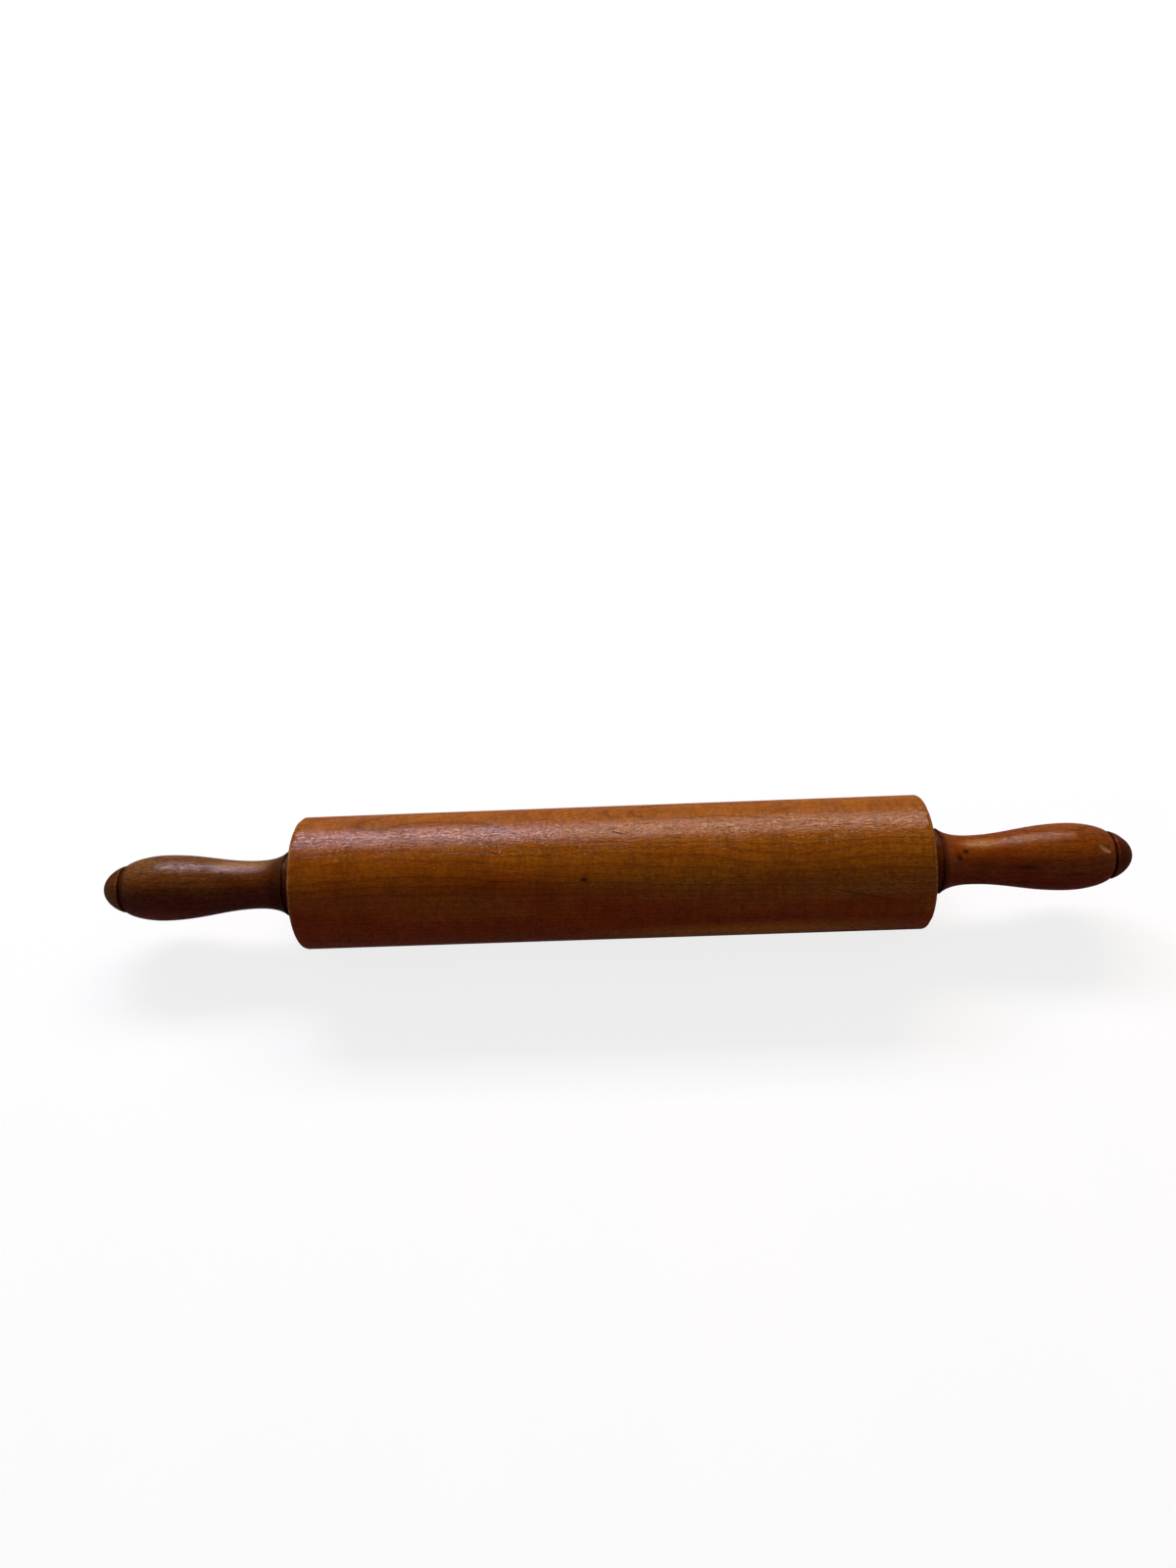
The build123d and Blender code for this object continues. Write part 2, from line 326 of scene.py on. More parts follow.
def turned(name, outline, segments, hand, rub_and_glint_spots=(), grime_and_shade_spots=(), dents=()):
    """A turned piece: its closed outline revolved about X, with dents pressed in.

    The outline is drawn for the right side, and a hand of -1 mirrors it. The attributes rub
    and grime say where hands have worn the piece, with a painted glint on its edges, and
    where old flour and oil collect, with painted shade in grooves and roots. A dent is (x,
    angle from -Y up towards Z, half length, half width, depth), and only the outer side of
    the piece takes it."""
    along = np.array([p[0] for p in outline])
    out = np.array([p[1] for p in outline])
    angles = np.arange(segments) * 2 * pi / segments
    reach = np.repeat(out[:, None], segments, 1)
    outside = (out > 0.3 * out.max())[:, None]
    for x, angle, half_length, half_width, depth in dents:
        turn = (angles - angle + pi) % (2 * pi) - pi
        gap = (((along[:, None] * hand - x) / half_length) ** 2
               + (reach * turn[None, :] / half_width) ** 2)
        reach = reach - np.exp(-gap ** 1.5) * outside * depth
    mesh = bpy.data.meshes.new(name)
    shape = bmesh.new()
    rings = []
    for i, x in enumerate(along):
        # A point of the outline on the axis is a single vertex.
        if out[i] < 1e-6:
            rings.append([shape.verts.new((x * hand, 0, 0))])
            continue
        rings.append([shape.verts.new((x * hand, -r * cos(angle), r * sin(angle)))
                      for r, angle in zip(reach[i], angles)])
    for a, b in zip(rings, rings[1:] + rings[:1]):
        if len(a) == 1 and len(b) == 1:
            continue
        for j in range(segments):
            k = (j + 1) % segments
            if len(a) == 1:
                shape.faces.new((a[0], b[k], b[j]))
            elif len(b) == 1:
                shape.faces.new((a[j], a[k], b[0]))
            else:
                shape.faces.new((a[j], a[k], b[k], b[j]))
    bmesh.ops.recalc_face_normals(shape, faces=shape.faces)
    shape.to_mesh(mesh)
    shape.free()
    mesh.polygons.foreach_set("use_smooth", [True] * len(mesh.polygons))
    mesh.set_sharp_from_angle(angle=CRISP)
    for label, spots in (("rub_and_glint", rub_and_glint_spots), ("grime_and_shade", grime_and_shade_spots)):
        amount = closeness(along, out, spots)
        spread = [level for level, ring in zip(amount, rings) for _ in ring]
        mesh.attributes.new(label, "FLOAT", "POINT").data.foreach_set("value", spread)
    piece = bpy.data.objects.new(name, mesh)
    bpy.context.scene.collection.objects.link(piece)
    return piece


def stand_for(piece, node, body, material):
    """The piece takes the place of a node of the frame, on its body, in its material slot."""
    piece.data.materials.append(material)
    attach(piece, body)
    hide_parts(node)


# ---- Materials


# A range of a pattern's values is stretched onto another without a hard edge.
SMOOTH = {"interpolation_type": "SMOOTHSTEP"}
# How far a mark of use soaks into the wood, in millimetres.
MARK_DEPTH = 4.0


def add(tree, kind, links=(), values=(), **settings):
    """Add one node: settings are its own, values are its sockets' and links feed them."""
    node = tree.nodes.new("ShaderNode" + kind)
    for name, value in settings.items():
        setattr(node, name, value)
    for socket, value in dict(values).items():
        node.inputs[socket].default_value = value
    for socket, source in dict(links).items():
        source = source.outputs[0] if isinstance(source, bpy.types.Node) else source
        tree.links.new(source, node.inputs[socket])
    return node


def blank(name):
    """A new material, its node tree and, in that, the place on the pin in millimetres."""
    material = bpy.data.materials.new(name)
    material.use_nodes = True
    tree = material.node_tree
    tree.nodes.clear()
    place = add(tree, "TexCoord").outputs["Object"]
    mm = add(tree, "VectorMath", {0: place}, {1: (1 / MM,) * 3}, operation="MULTIPLY")
    return material, tree, mm


def patches(tree, place, size, detail=2.0, shift=0.0, sharpness=0.5):
    """A soft random pattern from 0 to 1, whose patches are size (x, y, z) in millimetres.

    It has detail finer layers, which sharpness makes stronger. A shift of its own keeps it
    from following another pattern."""
    spread = add(tree, "VectorMath", {0: place}, {1: [1 / s for s in size], 2: (shift,) * 3},
                 operation="MULTIPLY_ADD")
    return add(tree, "TexNoise", {"Vector": spread},
               {"Scale": 1.0, "Detail": detail, "Roughness": sharpness})


def marked(x, angle, out, half_length, half_width, colour, slant=0.0, core=0.5, least=0.55):
    """A mark of use: an oval laid on a turned surface.

    It lies x along the axis and out from it in millimetres, at an angle in degrees from -Y
    up towards Z, and its slant is in degrees too. Inside core, a share of its size, it is at
    full strength, but the flecks of the grain thin it down to its least strength."""
    return {"x": x, "angle": radians(angle), "out": out,
            "size": (half_length, half_width, MARK_DEPTH), "colour": colour,
            "slant": radians(slant), "core": core, "least": least}


def oval(tree, mm, mark):
    """1 in the core of a mark of use, falling to 0 at its outline."""
    angle = mark["angle"]
    centre = (mark["x"], -mark["out"] * cos(angle), mark["out"] * sin(angle))
    turn = Matrix.Rotation(pi / 2 - angle, 3, "X") @ Matrix.Rotation(mark["slant"], 3, "Z")
    local = add(tree, "Mapping", {0: mm}, {1: centre, 2: turn.to_euler(), 3: mark["size"]},
                vector_type="TEXTURE")
    away = add(tree, "VectorMath", {0: local}, operation="LENGTH").outputs["Value"]
    return add(tree, "MapRange", {0: away}, {1: 1.0, 2: mark["core"]}, **SMOOTH)


def varnished_wood(name, look, colours):
    """Beech turned on a lathe and varnished, gone golden and russet with age and use.

    The rings are drawn in the solid, so end grain, quarter grain and the long flames of
    flat grain each show where the turning cuts them. Fine wavy fibres break up the sheen
    of a thin satin varnish, and rays give the quarter grain its cross-wise mottle.

    The look is in millimetres and shares, and only its relief is in metres:
    shift moves the random patterns, so that no two pieces are alike;
    pith (y, z), tilt and wander say where the log's middle lies, how it slants along X and
    how far its rings stray;
    ring and late are the width of a year's ring and the strength of its dark line;
    belly says where along X, Y and Z the grain rises, and rise by how much;
    light and dark are the outer wood and the heartwood, and cloud (x, y, z) is the size of
    the patches in which they mingle;
    heart, blend, uneven and lean say how far from the pith the heartwood reaches, and how
    its border fades, wavers and slants along X; where it lies on the lower front, the dark
    heartwood is partly painted shade;
    fibre, fleck, crease, block and vessel are the strengths of the patterns of the grain;
    rub, grime and marks are the worn edges with their painted glint, the flour, oil and
    painted shade in grooves and roots, and the marks of use;
    varnish, roughness and relief are the coat's weight and roughness and the grain's height."""
    material, tree, mm = blank(name)
    parts = add(tree, "SeparateXYZ", {0: mm}).outputs
    shift = look["shift"]
    # The rings wander by some millimetres over a hand's length, as they do in a real board.
    wander = patches(tree, mm, (85, 38, 38), 1.5, shift)
    wide = look["wander"]
    log = add(tree, "VectorMath", {0: wander.outputs["Color"], 2: mm}, {1: (0, wide, wide)},
              operation="MULTIPLY_ADD")
    # Fibres weave to and fro every few millimetres, which gives the short wavy flecks.
    weave = patches(tree, mm, (5, 4, 4), 1.0, shift + 3)
    swing = 2.6
    wavy = add(tree, "VectorMath", {0: weave.outputs["Color"], 2: mm}, {1: (0, swing, swing)},
               operation="MULTIPLY_ADD")
    # Rings: distance from the pith of the log, which runs past the turning at a slight tilt.
    pith = [-at - wide / 2 for at in look["pith"]]
    off = add(tree, "VectorMath", {0: log}, {1: (0, 1, 1), 2: (0, *pith)},
              operation="MULTIPLY_ADD")
    ray = add(tree, "VectorMath", {0: off}, operation="LENGTH").outputs["Value"]
    reach = add(tree, "Math", {0: parts["X"], 2: ray}, {1: look["tilt"]},
                operation="MULTIPLY_ADD")
    if "belly" in look:
        # Where the grain rises in a belly, the rings show as nested arches.
        inside, *others = [add(tree, "MapRange", {0: parts[axis]}, {1: low, 2: high}, **SMOOTH)
                           for axis, (low, high) in look["belly"].items()]
        for other in others:
            inside = add(tree, "Math", {0: inside, 1: other}, operation="MULTIPLY")
        reach = add(tree, "Math", {0: inside, 2: reach}, {1: look["rise"]},
                    operation="MULTIPLY_ADD")
    # A year's wood starts pale, and darkens slowly to the line of late wood that ends it.
    year = add(tree, "Math", {0: reach}, {1: look["ring"]}, operation="DIVIDE")
    within = add(tree, "Math", {0: year}, operation="FRACT")
    number = add(tree, "Math", {0: year}, operation="FLOOR")
    profile = add(tree, "ValToRGB", {0: within})
    for element in profile.color_ramp.elements:
        element.color = solid((0.35,) * 3)
    for at, level in ((0.1, 0.0), (0.6, 0.08), (0.86, 0.45), (0.94, 1.0)):
        profile.color_ramp.elements.new(at).color = solid((level,) * 3)
    # Some years' lines are weaker than others.
    strength = add(tree, "TexWhiteNoise", {"W": number}, noise_dimensions="1D").outputs["Value"]
    strength = add(tree, "MapRange", {0: strength}, {3: 0.35}, **SMOOTH)
    ring = add(tree, "Math", {0: profile, 1: strength}, operation="MULTIPLY")
    # Long fibres, 0.1 mm wide in the wood and drawn 0.7 mm wide so that they show.
    fibre = patches(tree, wavy, (9, 0.7, 0.7), 2.0, shift + 5, 0.6)
    # Flecks of the wavy grain, 2.3 mm long.
    fleck = patches(tree, wavy, (2.3, 0.6, 0.6), 1.0, shift + 7)
    # Between the flecks run thin wavy creases, where the grain dips under the surface.
    dip = patches(tree, wavy, (7, 1.1, 1.1), 1.0, shift + 31)
    dip = add(tree, "Math", {0: dip}, {1: 0.5}, operation="SUBTRACT")
    dip = add(tree, "Math", {0: dip}, operation="ABSOLUTE")
    crease = add(tree, "MapRange", {0: dip}, {2: 0.07, 3: 1.0, 4: 0.0}, **SMOOTH)
    # Vessels: long dark lines, hair-fine in the wood and drawn 0.7 mm wide so that they show.
    vessel = patches(tree, log, (42, 0.7, 0.7), 2.0, shift + 11, 0.65)
    vessel = add(tree, "MapRange", {0: vessel}, {1: 0.56, 2: 0.7}, **SMOOTH)
    # Rays: blocks across the grain, 1.2 mm wide and some 6 mm tall.
    block = patches(tree, mm, (1.2, 6, 6), 1.0, shift + 13)
    # Slow waves of light and shade, where the grain curls.
    curl = patches(tree, mm, (9, 20, 20), 1.0, shift + 17)
    cloud = patches(tree, mm, look["cloud"], 2.0, shift + 19, 0.55)
    # The heart of the log is russet and the outer wood golden, with an uneven border. On the
    # barrel and the handles the heart lies on the lower front, so its dark colour there is partly
    # painted shade.
    edge = add(tree, "Math", {0: cloud, 2: ray}, {1: look["uneven"]}, operation="MULTIPLY_ADD")
    edge = add(tree, "Math", {0: parts["X"], 2: edge}, {1: look["lean"]},
               operation="MULTIPLY_ADD")
    border = look["heart"] + look["uneven"] / 2
    heart = add(tree, "MapRange", {0: edge},
                {1: border - look["blend"], 2: border + look["blend"], 3: 1.0, 4: 0.0}, **SMOOTH)
    colour = add(tree, "Mix", {0: heart}, {6: solid(look["light"]), 7: solid(look["dark"])},
                 data_type="RGBA").outputs[2]
    late = add(tree, "MapRange", {0: fibre},
               {1: 0.2, 2: 0.8, 3: look["late"] * 0.6, 4: look["late"]}, **SMOOTH)
    late = add(tree, "Math", {0: ring, 1: late}, operation="MULTIPLY")
    colour = add(tree, "Mix", {0: late, 6: colour}, {7: solid(colours.late)},
                 data_type="RGBA").outputs[2]
    # The dark heartwood shows the wavy grain less than the golden wood does.
    calm = add(tree, "MapRange", {0: heart}, {3: 1.0, 4: 0.25}, **SMOOTH)
    waves = add(tree, "MapRange", {0: fleck},
                {1: 0.36, 2: 0.64, 3: -look["fleck"], 4: look["fleck"]}, **SMOOTH)
    creases = add(tree, "Math", {0: crease, 1: calm}, operation="MULTIPLY")
    level = add(tree, "Math", {0: waves, 1: calm}, {2: 1.0}, operation="MULTIPLY_ADD")
    for pattern, low, high, at_low, at_high in (
        (fibre, 0.36, 0.64, 1 - look["fibre"], 1 + look["fibre"]),
        (creases, 0.0, 1.0, 1.0, 1 - look["crease"]),
        (block, 0.36, 0.64, 1 - look["block"], 1 + look["block"]),
        (curl, 0.36, 0.64, 0.93, 1.06),
        (vessel, 0.0, 1.0, 1.0, 1 - look["vessel"]),
    ):
        share = add(tree, "MapRange", {0: pattern}, {1: low, 2: high, 3: at_low, 4: at_high},
                    **SMOOTH)
        level = add(tree, "Math", {0: level, 1: share}, operation="MULTIPLY")
    colour = add(tree, "VectorMath", {0: colour, "Scale": level}, operation="SCALE")
    # Marks of use, each one an oval laid on the surface and broken up by the flecks.
    layers = []
    for mark in look["marks"]:
        broken = add(tree, "MapRange", {0: fleck}, {1: 0.3, 2: 0.55, 3: mark["least"]}, **SMOOTH)
        amount = add(tree, "Math", {0: oval(tree, mm, mark), 1: broken}, operation="MULTIPLY")
        layers.append((mark["colour"], amount))
    # Edges that hands rub keep little varnish, in a dotted line that thins out in places. The pale
    # line is partly a painted glint along the edges.
    rub_and_glint = add(tree, "Attribute", attribute_name="rub_and_glint").outputs["Fac"]
    rub_and_glint = add(tree, "MapRange", {0: rub_and_glint}, {1: 0.3, 2: 0.9, 4: look["rub_and_glint"]}, **SMOOTH)
    for size, more, low, high, least in ((1.3, 23, 0.46, 0.6, 0.0), (16, 29, 0.4, 0.62, 0.4)):
        dots = patches(tree, mm, (size,) * 3, 1.0, shift + more)
        dots = add(tree, "MapRange", {0: dots}, {1: low, 2: high, 3: least}, **SMOOTH)
        rub_and_glint = add(tree, "Math", {0: rub_and_glint, 1: dots}, operation="MULTIPLY")
    layers.append((colours.bare_and_glint, rub_and_glint))
    # Grooves hold grime, and the same mask paints shade into grooves, inner faces and roots.
    grime_and_shade = add(tree, "Attribute", attribute_name="grime_and_shade").outputs["Fac"]
    grime_and_shade = add(tree, "MapRange", {0: grime_and_shade}, {1: 0.1, 2: 0.9, 4: look["grime_and_shade"]}, **SMOOTH)
    layers.append((colours.grime_and_shade, grime_and_shade))
    for over, amount in layers:
        colour = add(tree, "Mix", {0: amount, 6: colour}, {7: solid(over)},
                     data_type="RGBA").outputs[2]
    # The varnish is a thin coat, sunk into the grain here and there. Little of it is left where
    # the rub and glint mask or the grime and shade mask is strong, and the dark heartwood has
    # drunk half of it.
    film = add(tree, "MapRange", {0: fleck},
               {1: 0.34, 2: 0.66, 3: look["varnish"] * 0.3, 4: look["varnish"] * 1.7}, **SMOOTH)
    for pattern, high, left in ((rub_and_glint, 0.6, 0.3), (grime_and_shade, 0.8, 0.25), (heart, 1.0, 0.5)):
        share = add(tree, "MapRange", {0: pattern}, {2: high, 3: 1.0, 4: left}, **SMOOTH)
        film = add(tree, "Math", {0: film, 1: share}, operation="MULTIPLY")
    matt = add(tree, "MapRange", {0: fibre}, {1: 0.25, 2: 0.75, 3: 0.45, 4: 0.6}, **SMOOTH)
    # Fibres and flecks stand up a little, vessels and creases lie deeper.
    height = fibre
    for pattern, share in ((fleck, 0.8), (vessel, -0.5), (crease, -0.15)):
        height = add(tree, "Math", {0: pattern, 2: height}, {1: share}, operation="MULTIPLY_ADD")
    relief = add(tree, "Bump", {"Height": height}, {"Distance": look["relief"]})
    # The wood under the coat has no gloss of its own.
    shader = add(tree, "BsdfPrincipled",
                 {"Base Color": colour, "Roughness": matt, "Normal": relief, "Coat Normal": relief,
                  "Coat Weight": film},
                 {"IOR": 1.5, "Specular IOR Level": 0.0, "Coat Roughness": look["roughness"],
                  "Coat IOR": 1.5})
    add(tree, "OutputMaterial", {"Surface": shader})
    return material


def bright_metal(name, colour, roughness, line, depth, mottle=0.08):
    """Machined or plated metal: turning lines round the axis and slight cloudiness.

    The lines are line millimetres apart and depth metres deep. On real metal they are finer
    than 0.1 mm, and they are drawn coarser so that they show. The clouds are lighter or
    darker by mottle, a share."""
    material, tree, mm = blank(name)
    lines = patches(tree, mm, (line, 30, 30), 2.0, 3.0, 0.7)
    cloud = patches(tree, mm, (4, 4, 4), 3.0, 9.0, 0.6)
    level = add(tree, "MapRange", {0: cloud}, {1: 0.3, 2: 0.7, 3: 1 - mottle, 4: 1 + mottle},
                **SMOOTH)
    rough = add(tree, "MapRange", {0: cloud},
                {1: 0.3, 2: 0.7, 3: roughness - 0.05, 4: roughness + 0.07}, **SMOOTH)
    shade = add(tree, "VectorMath", {"Scale": level}, {0: colour}, operation="SCALE")
    relief = add(tree, "Bump", {"Height": lines}, {"Distance": depth})
    shader = add(tree, "BsdfPrincipled",
                 {"Base Color": shade, "Roughness": rough, "Normal": relief}, {"Metallic": 1.0})
    add(tree, "OutputMaterial", {"Surface": shader})
    return material


def moulded_nylon(colours):
    """Natural nylon, injection moulded: a soft, slightly cloudy off-white with a fine skin."""
    material, tree, mm = blank("moulded_nylon")
    cloud = patches(tree, mm, (3, 3, 3), 3.0, 1.0)
    grain = patches(tree, mm, (0.3, 0.3, 0.3), 1.0, 2.0)
    level = add(tree, "MapRange", {0: cloud}, {1: 0.3, 2: 0.7, 3: 0.9, 4: 1.05}, **SMOOTH)
    shade = add(tree, "VectorMath", {"Scale": level}, {0: colours.nylon}, operation="SCALE")
    rough = add(tree, "MapRange", {0: grain}, {1: 0.3, 2: 0.7, 3: 0.4, 4: 0.55}, **SMOOTH)
    relief = add(tree, "Bump", {"Height": grain}, {"Distance": 0.00001})
    shader = add(tree, "BsdfPrincipled",
                 {"Base Color": shade, "Roughness": rough, "Normal": relief},
                 {"IOR": 1.53, "Subsurface Weight": 0.1, "Subsurface Scale": 0.001})
    add(tree, "OutputMaterial", {"Surface": shader})
    return material


# ---- Operators


class ROLLINGPIN_OT_barrel(bpy.types.Operator):
    """Turn the barrel, with its tunnel, bearing pockets, worn rims and dents"""

    bl_idname = "rolling_pin.barrel"
    bl_label = "Turn the barrel"

    def execute(self, context):
        sizes = context.scene.rolling_pin.sizes
        colours = context.scene.rolling_pin.colours
        end, surface = far("barrel"), radius("barrel")
        pocket = radius("right_bearing_outer_ring") + SLIVER
        floor = near("right_bearing_outer_ring")
        relief = sizes.relief_radius
        relief_at = near("right_retaining_ring") - sizes.relief_gap
        tunnel = radius("right_spacer") - SPACER_WALL + sizes.tunnel_gap
        arris, soft = sizes.arris, sizes.edge_softness
        half = run((0, surface), (end - arris, surface), 0.0025)
        half += arc((end - arris, surface - arris), arris, 0, 90, 9)
        half += run((end, surface - arris), (end, pocket + soft), 0.0012)
        half += soften((end, pocket), (end, surface), (floor, pocket), soft)
        half += [(floor, pocket), (floor, relief), (relief_at, relief), (relief_at, tunnel)]
        other = [(-x, r) for x, r in reversed(half)]
        rng = np.random.default_rng(sizes.seed)
        dents = [dent(rng, rng.uniform(-end, end), (0.0012, 0.005), (0.0008, 0.002),
                      (0.00004, 0.00016)) for _ in range(sizes.dents)]
        for hand in HAND.values():
            dents += [dent(rng, hand * (end - rng.uniform(0, 0.0016)), (0.0007, 0.002),
                           (0.0006, 0.0028), (0.0001, 0.0004)) for _ in range(sizes.rim_dents)]
        # The left rim is rubbed more widely than the right one, and the pale line on both rims is
        # partly a painted glint.
        rim = (end - 0.4 * arris, surface - 0.2 * arris)
        piece = turned("turned_barrel", half + other[:-1], 288, 1,
                       rub_and_glint_spots=[(-rim[0], rim[1], 0.0011), (rim[0], rim[1], 0.00066)],
                       grime_and_shade_spots=[(hand * end, pocket, 0.004) for hand in HAND.values()],
                       dents=dents)
        dark, bare_and_glint = colours.grime_and_shade, colours.bare_and_glint
        look = {
            "shift": 0.0, "wander": 9.0, "pith": (-25.0, -51.3), "tilt": 0.02, "ring": 2.4,
            "light": colours.golden, "dark": colours.russet, "cloud": (60, 12, 12),
            "heart": 76.2, "blend": 18.0, "uneven": 30.0, "lean": 0.03,
            "belly": {"X": (-75.0, 35.0), "Y": (-9.8, 14.0), "Z": (0.0, 17.5)}, "rise": 13.0,
            "late": 0.72, "fibre": 0.14, "fleck": 0.13, "crease": 0.2, "block": 0.09,
            "vessel": 0.22, "rub_and_glint": 0.9, "grime_and_shade": 0.8, "varnish": 0.12, "roughness": 0.19,
            "relief": 0.00009,
            "marks": [
                # Painted light from below: paler along the lower right edge.
                marked(75, -5, 35, 110, 12, colours.painted_light_from_below, core=0.0, least=0.4),
                # A nick, two scratches and small dots.
                marked(-12.5, 54.6, 35, 2.4, 1.0, dark, 6),
                marked(5.8, 93.8, 35, 5.5, 0.5, dark, -22),
                marked(3.6, 139, 35, 2.5, 0.4, dark, 30),
                marked(-21.5, 123, 35, 1.2, 0.6, bare_and_glint),
                marked(12, 26, 35, 1.3, 0.8, dark, core=0.2, least=0.4),
                marked(66, 25, 35, 1.6, 1.0, dark, core=0.2, least=0.4),
                # A fine dark line across the right half.
                marked(126, 34, 35, 32, 0.7, colours.late, -13, core=0.1, least=0.3),
                # Varnish rubbed off beside the left rim, with a painted glint.
                marked(-161.2, 86, 34.8, 0.9, 8, bare_and_glint, core=0.2, least=0.3),
                marked(-161.4, 66, 34.7, 0.7, 10, bare_and_glint, core=0.1, least=0.2),
            ],
        }
        stand_for(piece, "barrel", "barrel",
                  varnished_wood("varnished_beech_barrel", look, colours))
        return {"FINISHED"}


class ROLLINGPIN_OT_handles(bpy.types.Operator):
    """Turn both handles, with bead, quirk, cove, neck, bulb and counterbore"""

    bl_idname = "rolling_pin.handles"
    bl_label = "Turn the handles"

    def execute(self, context):
        sizes = context.scene.rolling_pin.sizes
        colours = context.scene.rolling_pin.colours
        face, seat = near("right_handle"), far("right_handle")
        bore = radius("right_spacer") - SPACER_WALL + SLIVER
        counterbore = radius("right_flat_washer") + WASHER_ROOM
        floor = near("right_flat_washer")
        soft = sizes.edge_softness
        bead, edge = sizes.bead_radius, sizes.bead_edge
        bead_end = face + sizes.bead_width
        groove = bead - sizes.quirk_depth
        cove = (bead_end + sizes.quirk_width, sizes.cove_radius)
        down_cove = (cove[0] + 0.001, cove[1] - 0.0006)
        neck = (face + sizes.neck_reach, sizes.neck_radius)
        top = (face + sizes.bulb_reach, radius("right_handle"))
        step = (face + sizes.shoulder_reach, sizes.shoulder_radius)
        up_bulb = (step[0] - 0.001, step[1] + 0.0006)
        land = sizes.land_radius
        outline = run((face, bore), (face, bead - edge), 0.002)
        outline += arc((face + edge, bead - edge), edge, -90, 0, 15)
        outline += run((face + edge, bead), (bead_end - edge, bead), 0.0006)
        outline += arc((bead_end - edge, bead - edge), edge, 0, 91, 15)
        outline += soften((bead_end, groove), (bead_end, bead), (cove[0], groove), soft)
        outline += soften((cove[0], groove), (bead_end, groove), cove, soft)
        outline += soften(cove, (cove[0], groove), down_cove, soft)
        outline += sweep(cove, neck, ((0.16, 0.51), (0.42, 0.0)), 26)[1:]
        outline += sweep(neck, top, ((0.38, 0.0), (0.58, 1.0)), 60)
        outline += sweep(top, step, ((0.30, 1.0), (0.80, 0.68)), 40)
        outline += soften(step, up_bulb, (step[0], land), soft)
        outline += soften((step[0], land), step, (seat, land), soft)
        outline += soften((seat, land), (step[0], land), (seat, counterbore), soft)
        outline += [(seat, counterbore), (floor, counterbore), (floor, bore)]
        common = {"wander": 7.0, "lean": 0.0, "block": 0.04, "rub_and_glint": 0.35, "grime_and_shade": 0.55}
        looks = {
            "left": {"shift": 40.0, "pith": (-20.0, -22.0), "tilt": 0.05, "ring": 2.6,
                     "light": colours.grip_brown, "dark": colours.grip_dark,
                     "cloud": (38, 9, 9), "heart": 40.0, "blend": 13.0, "uneven": 22.0,
                     "late": 0.8, "fibre": 0.24, "fleck": 0.2, "crease": 0.34, "vessel": 0.3,
                     "varnish": 0.145, "roughness": 0.13, "relief": 0.0001},
            "right": {"shift": 60.0, "pith": (-26.0, -30.0), "tilt": -0.04, "ring": 3.4,
                      "light": colours.grip_golden, "dark": colours.grip_russet,
                      "cloud": (30, 14, 14), "heart": 44.0, "blend": 14.0, "uneven": 30.0,
                      "late": 0.6, "fibre": 0.16, "fleck": 0.14, "crease": 0.2, "vessel": 0.2,
                      "varnish": 0.105, "roughness": 0.17, "relief": 0.00008},
        }
        # Where the chip in the right bulb is, with its half length and half width.
        chip = (251.6, 71, 3.6, 1.7)
        marks = {
            "left": [
                # A lighter strip under the bulb, and a painted sheen, paler, behind the neck.
                marked(-235, 0, 17.3, 32, 6.5, colours.grip_russet, core=0.0, least=0.7),
                marked(-195, 113, 13.2, 26, 6, colours.painted_left_neck_sheen, core=0.0, least=0.25),
            ],
            "right": [
                # A painted sheen as a golden patch on the neck, the chip, a stain of two blobs and
                # two streaks.
                marked(192, 99, 13.0, 17, 6, colours.painted_right_neck_sheen, core=0.0, least=0.25),
                marked(chip[0], chip[1], 15.0, 4.2, 1.3, colours.bare_and_glint, -32, core=0.75, least=0.9),
                marked(179.2, 65.0, 13.5, 2.8, 3.4, colours.stain, 20, core=0.0),
                marked(182.8, 79.0, 13.1, 2.6, 2.2, colours.stain, core=0.0),
                marked(211, 41, 15.8, 10, 2.4, colours.streak, core=0.0),
                marked(238, 27, 17.4, 9, 1.5, colours.streak, core=0.0),
            ],
        }
        # Painted shade: the left handle's root is dark all over, and its step darker beside the
        # button.
        # The right handle's root is dark only in the groove and beside it.
        root_and_step_shade = {
            "left": [(bead_end, bead, 0.012), (step[0] - 0.0012, step[1], 0.0024)],
            "right": [(bead_end - 0.0015, bead, 0.0022), (cove[0] + 0.0008, cove[1], 0.0028)],
        }
        rng = np.random.default_rng(sizes.seed + 1)
        for side, hand in HAND.items():
            dents = [dent(rng, hand * rng.uniform(face + 0.02, step[0]), (0.001, 0.004),
                          (0.0008, 0.002), (0.00003, 0.00012))
                     for _ in range(sizes.handle_dents)]
            dents += [dent(rng, hand * rng.uniform(step[0] - 0.0012, step[0]), (0.0006, 0.0013),
                           (0.0006, 0.002), (0.0001, 0.0003)) for _ in range(sizes.step_dents)]
            if side == "right":
                dents.append((chip[0] * MM, radians(chip[1]), chip[2] * MM, chip[3] * MM, 0.0005))
            # The inner face and the seat under the button take the grime and shade mask too, as
            # grime and painted shade where the parts meet.
            piece = turned(
                f"turned_{side}_handle", outline, 192, hand,
                rub_and_glint_spots=[(step[0], step[1], 0.0008), (bead_end - 0.4 * edge, bead, 0.0008)],
                grime_and_shade_spots=[(face, bead - edge, 0.002), (step[0] + 0.0006, land, 0.0013), *root_and_step_shade[side]],
                dents=dents)
            look = {**common, **looks[side], "marks": marks[side]}
            stand_for(piece, f"{side}_handle", "axle",
                      varnished_wood(f"varnished_beech_{side}_handle", look, colours))
        return {"FINISHED"}


